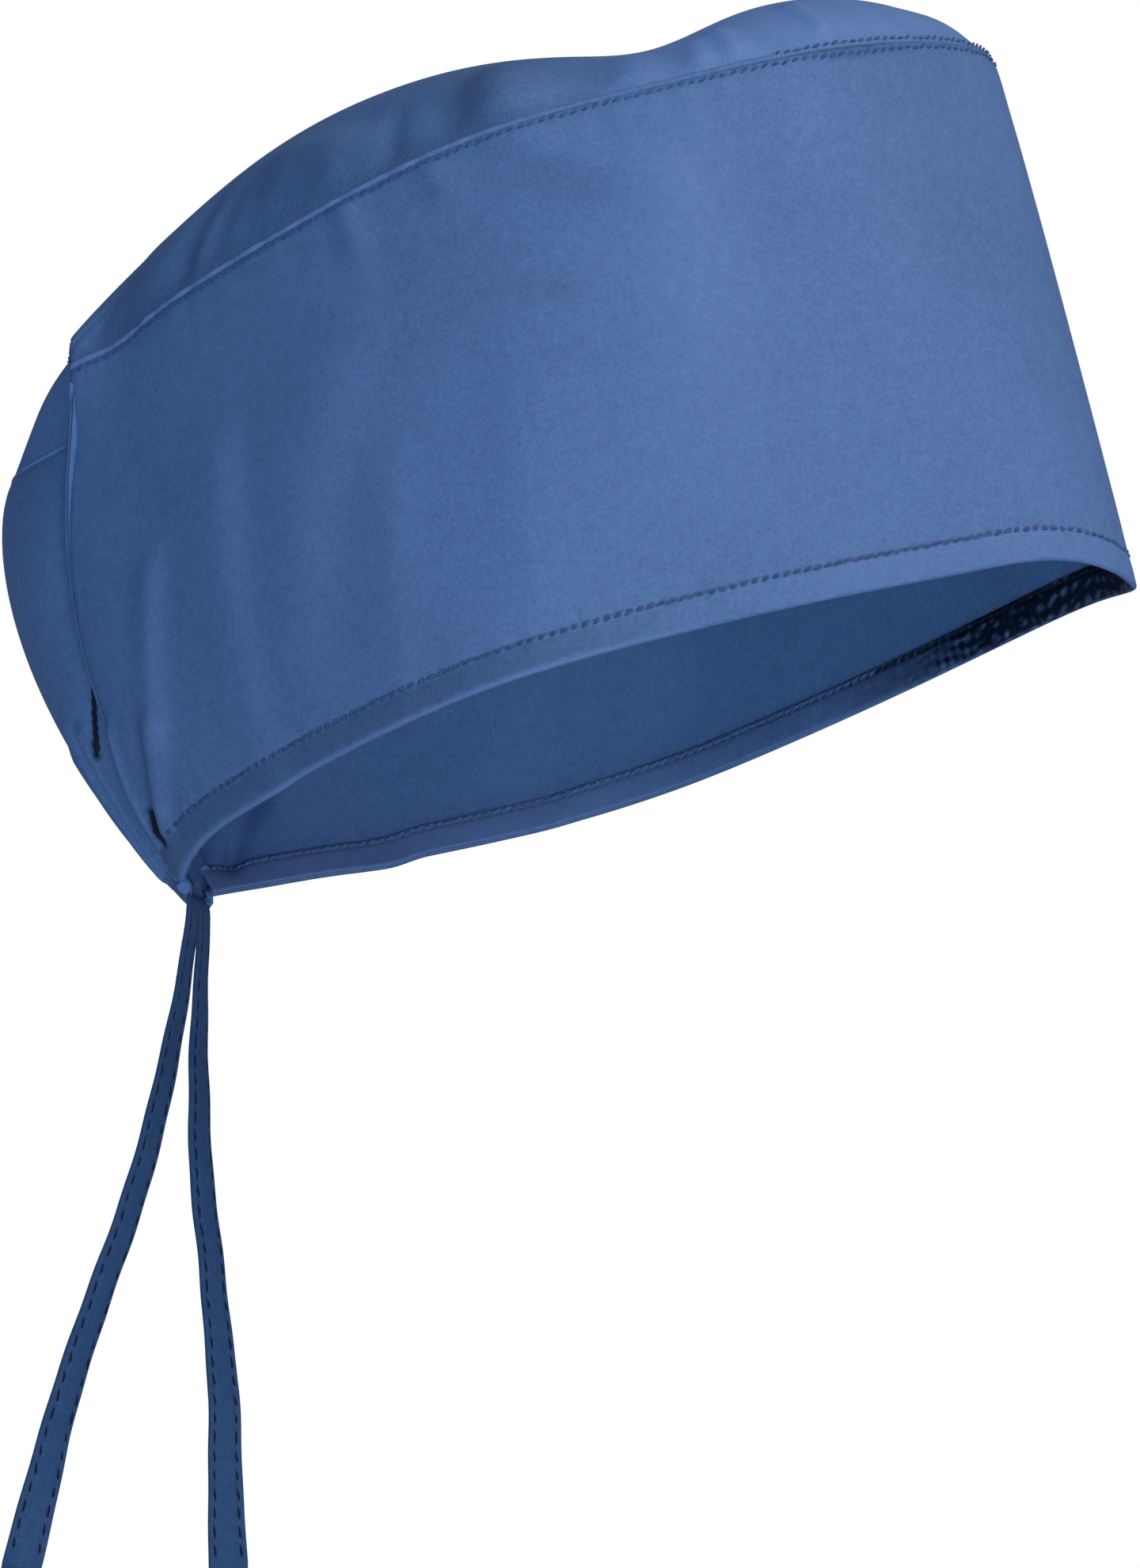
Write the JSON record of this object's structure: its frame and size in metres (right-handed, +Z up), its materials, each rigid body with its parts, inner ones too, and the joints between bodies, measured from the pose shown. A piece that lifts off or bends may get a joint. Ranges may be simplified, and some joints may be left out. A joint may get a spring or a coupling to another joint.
{
  "type": "scrub cap",
  "caption": "Woven scrub cap in worn form: oval crown seamed to a side band, deep pleats at the back, a turned-up hem casing and flat tape ties hanging from the nape.",
  "frame": {"origin": "middle of the rim opening, where the wearer's head carries the cap", "axes": "+Z up with the cap as worn, -Y towards the forehead, +Y towards the nape, -X towards the wearer's right. The rim leans back, so its forehead end is the higher one"},
  "size_m": [0.1644, 0.2569, 0.3462],
  "materials": {
    "band_cloth": "plain woven cotton poplin, matt, mid blue",
    "crown_cloth": "plain woven cotton poplin, matt, mid blue",
    "hem_cloth": "plain woven cotton poplin, matt, mid blue",
    "tie_cloth": "folded cotton tape with stitched edges, matt, darker blue"
  },
  "bodies": {
    "root": {"side_band": "band_cloth", "crown": "crown_cloth", "hem_casing": "hem_cloth", "tie_right": "tie_cloth", "tie_left": "tie_cloth"}
  },
  "joints": []
}
